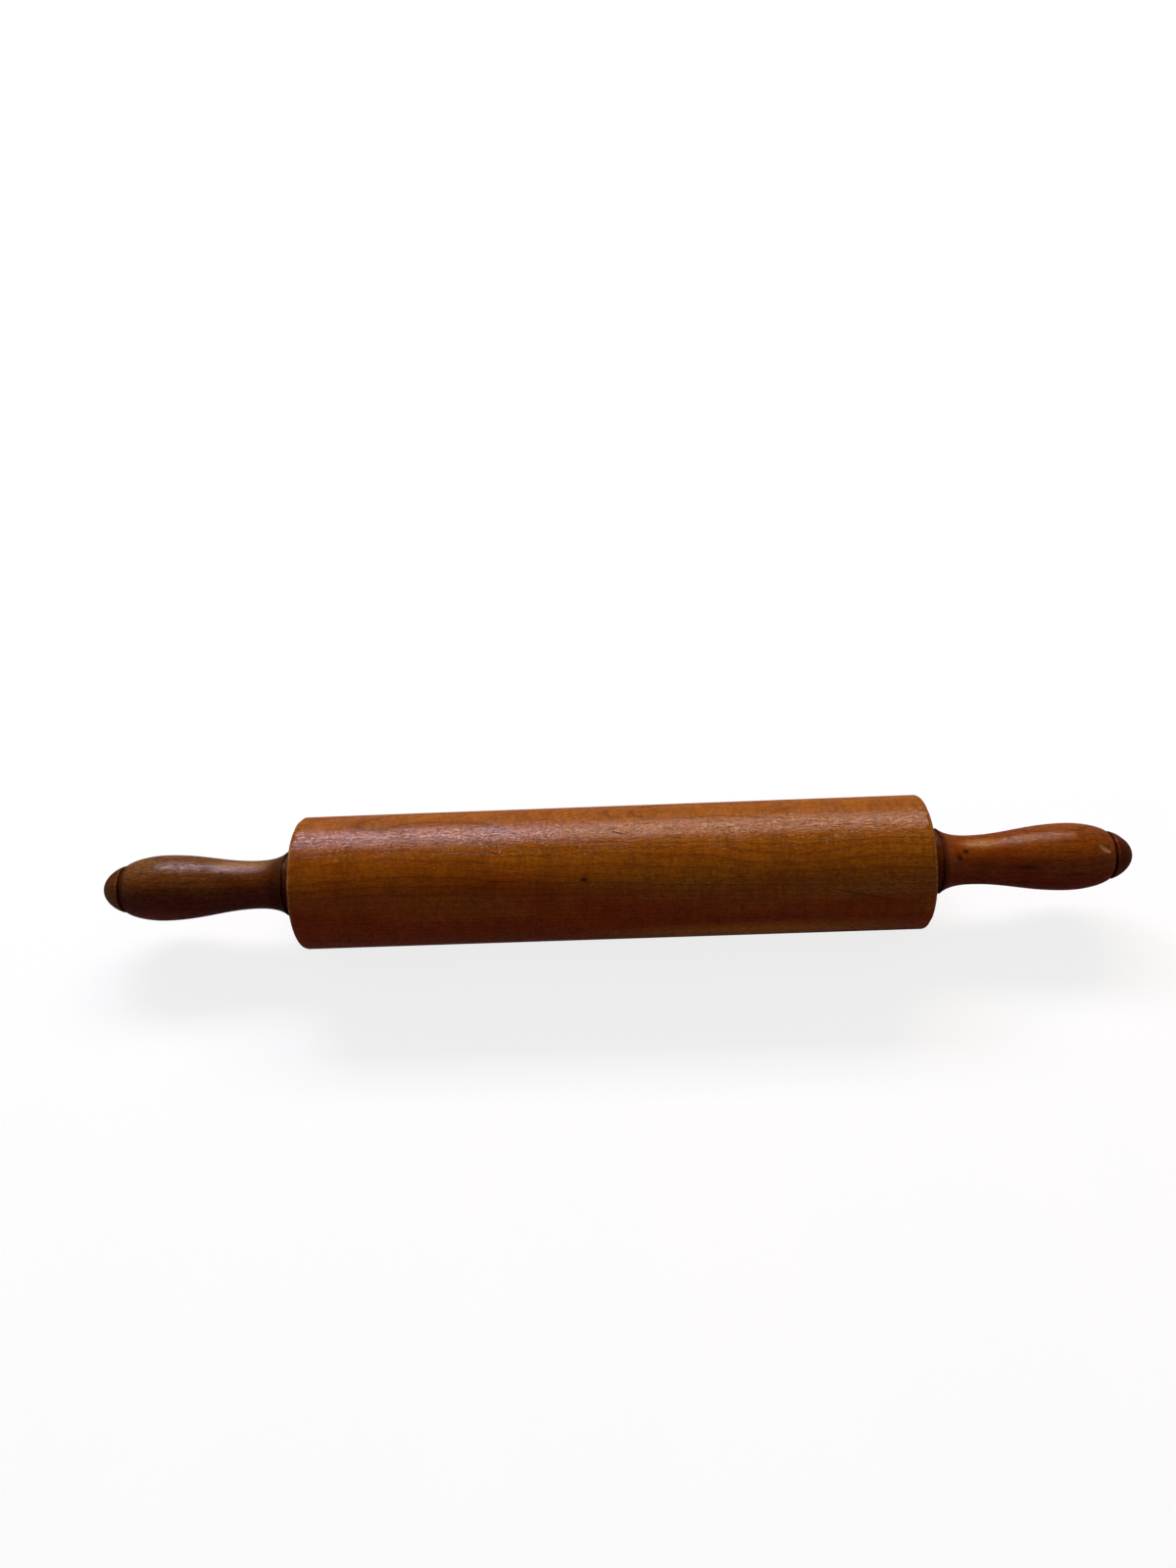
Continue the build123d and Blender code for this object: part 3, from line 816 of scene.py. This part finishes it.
class ROLLINGPIN_OT_buttons(bpy.types.Operator):
    """Turn both domed buttons, whose shanks plug the counterbores"""

    bl_idname = "rolling_pin.buttons"
    bl_label = "Turn the buttons"

    def execute(self, context):
        sizes = context.scene.rolling_pin.sizes
        colours = context.scene.rolling_pin.colours
        inner, tip = near("right_button"), far("right_button")
        head, seat = radius("right_button"), far("right_handle")
        shank = radius("right_flat_washer") + WASHER_ROOM - SLIVER
        chamfer = sizes.plug_chamfer
        rim = (seat, head)
        outline = [(inner, 0.0), (inner, shank - chamfer), (inner + chamfer, shank), (seat, shank)]
        outline += soften(rim, (seat, shank), (tip, head), sizes.edge_softness)
        outline += sweep(rim, (tip, 0.0), ((0.12, 1.0), (1.0, 0.66)), 44)[2:]
        outline += [(tip, 0.0)]
        common = {"wander": 5.0, "tilt": 0.05, "ring": 2.4, "cloud": (14, 9, 9), "heart": 20.0,
                  "blend": 8.0, "uneven": 20.0, "lean": 0.0, "late": 0.6, "fibre": 0.16,
                  "fleck": 0.1, "crease": 0.12, "block": 0.03, "vessel": 0.2, "rub_and_glint": 0.6,
                  "grime_and_shade": 0.8, "roughness": 0.2, "relief": 0.00004, "marks": []}
        looks = {
            "left": {"shift": 80.0, "light": colours.left_button,
                     "dark": colours.left_button_heart, "pith": (18.0, 12.0), "varnish": 0.07},
            "right": {"shift": 95.0, "light": colours.right_button,
                      "dark": colours.right_button_heart, "pith": (-14.0, 20.0), "varnish": 0.1},
        }
        rng = np.random.default_rng(sizes.seed + 2)
        for side, hand in HAND.items():
            dents = [dent(rng, hand * rng.uniform(seat, tip), (0.0006, 0.002), (0.0006, 0.0015),
                          (0.00004, 0.00015)) for _ in range(sizes.button_dents)]
            # The worn rim carries a painted glint, and the groove where the shank meets the handle
            # takes grime and painted shade.
            piece = turned(f"turned_{side}_button", outline, 160, hand,
                           rub_and_glint_spots=[(seat + 0.0008, head, 0.0009)],
                           grime_and_shade_spots=[(seat, shank, 0.0014)], dents=dents)
            look = {**common, **looks[side]}
            stand_for(piece, f"{side}_button", "axle",
                      varnished_wood(f"varnished_beech_{side}_button", look, colours))
        return {"FINISHED"}


class ROLLINGPIN_OT_metal(bpy.types.Operator):
    """Finish the rod, bearings, rings, nuts and washers inside the pin"""

    bl_idname = "rolling_pin.metal"
    bl_label = "Finish the metal and nylon"

    def execute(self, context):
        colours = context.scene.rolling_pin.colours
        # Cold-drawn rod, centreless ground: bright, with hair-fine lines round it.
        rod = bright_metal("cold_drawn_steel", colours.steel, 0.3, 0.35, 0.000006)
        # Hardened, ground and polished: nearly a mirror.
        bearing = bright_metal("polished_bearing_steel", colours.steel, 0.16, 0.2, 0.000002, 0.04)
        # Sheet steel pressed thin: a softer, slightly cloudy sheen.
        shield = bright_metal("pressed_sheet_steel", colours.steel, 0.34, 0.8, 0.000006, 0.1)
        # Hardened and oil-blackened: dark with a dull shine.
        spring = bright_metal("blackened_spring_steel", colours.spring, 0.42, 0.5, 0.000008, 0.2)
        # Bright zinc plating: bluish, crystalline and a little uneven.
        zinc = bright_metal("zinc_plated_steel", colours.zinc, 0.32, 0.6, 0.000006, 0.14)
        finishes = {
            "axle_rod": rod, "spacer": rod, "bearing_outer_ring": bearing,
            "bearing_inner_ring": bearing, "bearing_balls": bearing,
            "bearing_cage": moulded_nylon(colours), "bearing_shields": shield,
            "retaining_ring": spring, "lock_washer": spring, "flat_washer": zinc, "nut": zinc,
        }
        for name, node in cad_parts.items():
            kind = name.removeprefix("left_").removeprefix("right_")
            if kind in finishes:
                node.data.materials.clear()
                node.data.materials.append(finishes[kind])
        return {"FINISHED"}


class ROLLINGPIN_OT_stage(bpy.types.Operator):
    """Lay the pale floor, hang the lamps and place the camera"""

    bl_idname = "rolling_pin.stage"
    bl_label = "Set the stage"

    def execute(self, context):
        scene = context.scene
        stage = scene.rolling_pin.stage
        self.floor(scene.rolling_pin.colours, stage.floor_radius, cad_box[0][2])
        self.surroundings(scene, stage)
        # Two tall windows behind the pin draw the long highlights in its varnish. Two lamps at
        # the same places, which the varnish doesn't show, give the plain light from there.
        for name, x, width, power, colour in (
            ("warm", stage.warm_place, stage.warm_width, stage.warm_power, stage.warm_colour),
            ("cool", stage.cool_place, stage.cool_width, stage.cool_power, stage.cool_colour),
        ):
            lamp = self.lamp(f"{name}_lamp", stage, x, (width, stage.lamp_height), power, colour)
            lamp.visible_glossy = False
            tall = power * stage.window_glare * stage.window_height / stage.lamp_height
            window = self.lamp(f"{name}_window", stage, x, (width, stage.window_height), tall,
                               colour)
            window.visible_diffuse = False
        camera = bpy.data.objects.new("camera", bpy.data.cameras.new("camera"))
        scene.collection.objects.link(camera)
        camera.location = stage.camera_place
        camera.rotation_euler = stage.camera_turn
        camera.data.sensor_width = 36
        camera.data.lens = stage.lens
        camera.data.clip_start = 0.01
        scene.camera = camera
        scene.view_settings.view_transform = "Standard"
        return {"FINISHED"}

    def floor(self, colours, size, height):
        """A wide pale disc that stays nearly white to the eye but keeps the pin's shadow."""
        mesh = bpy.data.meshes.new("floor")
        shape = bmesh.new()
        bmesh.ops.create_circle(shape, cap_ends=True, segments=96, radius=size)
        bmesh.ops.translate(shape, verts=shape.verts, vec=(0, 0, height))
        shape.to_mesh(mesh)
        shape.free()
        floor = bpy.data.objects.new("floor", mesh)
        bpy.context.scene.collection.objects.link(floor)
        material, tree, mm = blank("pale_floor")
        path = add(tree, "LightPath").outputs
        camera = path["Is Camera Ray"]
        mirrored = add(tree, "Math", {0: path["Is Glossy Ray"], 1: path["Is Transmission Ray"]},
                       operation="MAXIMUM")
        # Varnish and metal show it paler but glowing less near the pin, so the pin's shadow
        # lies deeper in what they show and the underside keeps less haze.
        colour = add(tree, "Mix", {0: mirrored},
                     {6: solid(colours.floor_bounce), 7: solid(colours.floor_mirrored)},
                     data_type="RGBA").outputs[2]
        colour = add(tree, "Mix", {0: camera, 6: colour}, {7: solid(colours.floor)},
                     data_type="RGBA").outputs[2]
        matt = add(tree, "BsdfDiffuse", {"Color": colour})
        # Far out, where the lamps no longer reach, a stronger glow keeps the floor as pale.
        away = add(tree, "VectorMath", {0: mm}, operation="LENGTH").outputs["Value"]
        glows = []
        for rays, least in ((camera, 0.8), (mirrored, 0.5)):
            glow = add(tree, "MapRange", {0: away}, {1: 0.8 / MM, 2: 3 / MM, 3: least}, **SMOOTH)
            glows.append(add(tree, "Math", {0: rays, 1: glow}, operation="MULTIPLY"))
        strength = add(tree, "Math", {0: glows[0], 1: glows[1]}, operation="ADD")
        glow = add(tree, "Emission", {"Strength": strength}, {"Color": solid((1, 1, 1))})
        both = add(tree, "AddShader", {0: matt, 1: glow})
        add(tree, "OutputMaterial", {"Surface": both})
        mesh.materials.append(material)

    def surroundings(self, scene, stage):
        """A world that is white to the eye up to a dim ceiling, and gives a plain soft light."""
        world = bpy.data.worlds.new("studio")
        world.use_nodes = True
        tree = world.node_tree
        tree.nodes.clear()
        # The eye sees it straight, or by way of metal, varnish and glass.
        path = add(tree, "LightPath").outputs
        seen = path["Is Camera Ray"]
        for rays in ("Is Glossy Ray", "Is Transmission Ray"):
            seen = add(tree, "Math", {0: seen, 1: path[rays]}, operation="MAXIMUM")
        # The white fades into the ceiling between these heights on a ball of radius 1.
        low, high = 0.42, 0.72
        up = add(tree, "SeparateXYZ", {0: add(tree, "TexCoord").outputs["Generated"]}).outputs["Z"]
        backdrop = add(tree, "MapRange", {0: up},
                       {1: low, 2: high, 3: 1.0 - stage.surroundings, 4: 0.0}, **SMOOTH)
        strength = add(tree, "Math", {0: seen, 1: backdrop}, {2: stage.surroundings},
                       operation="MULTIPLY_ADD")
        light = add(tree, "Background", {"Strength": strength}, {"Color": solid((1, 1, 1))})
        add(tree, "OutputWorld", {"Surface": light})
        scene.world = world

    def lamp(self, name, stage, x, size, power, colour):
        """A soft lamp of size (width, height) behind the pin, facing it."""
        data = bpy.data.lights.new(name, "AREA")
        data.shape = "RECTANGLE"
        data.size, data.size_y = size
        data.energy = power
        data.color = colour
        lamp = bpy.data.objects.new(name, data)
        bpy.context.scene.collection.objects.link(lamp)
        back = stage.lamp_distance * cos(stage.lamp_angle)
        up = stage.lamp_distance * sin(stage.lamp_angle)
        lamp.location = (x, back, up)
        lamp.rotation_euler = Vector((0, -back, -up)).to_track_quat("-Z", "Y").to_euler()
        return lamp


class ROLLINGPIN_PT_panel(bpy.types.Panel):
    """The rolling pin's sizes, colours and steps"""

    bl_label = "Rolling Pin"
    bl_space_type = "VIEW_3D"
    bl_region_type = "UI"
    bl_category = "Rolling Pin"

    def draw(self, context):
        settings = context.scene.rolling_pin
        for title in ("sizes", "colours", "stage"):
            group = getattr(settings, title)
            box = self.layout.box()
            box.label(text=title.capitalize())
            for name in group.__annotations__:
                box.prop(group, name)
        for step in STEPS:
            self.layout.operator(step.bl_idname)


STEPS = (
    ROLLINGPIN_OT_stage,
    ROLLINGPIN_OT_barrel,
    ROLLINGPIN_OT_handles,
    ROLLINGPIN_OT_buttons,
    ROLLINGPIN_OT_metal,
)
CLASSES = (PinSizes, PinColours, PinStage, PinSettings, *STEPS, ROLLINGPIN_PT_panel)


def register():
    for cls in CLASSES:
        bpy.utils.register_class(cls)
    bpy.types.Scene.rolling_pin = PointerProperty(type=PinSettings)


def unregister():
    del bpy.types.Scene.rolling_pin
    for cls in reversed(CLASSES):
        bpy.utils.unregister_class(cls)


def main():
    register()
    bpy.ops.rolling_pin.stage()
    bpy.ops.rolling_pin.barrel()
    bpy.ops.rolling_pin.handles()
    bpy.ops.rolling_pin.buttons()
    bpy.ops.rolling_pin.metal()


if __name__ == "__main__":
    main()
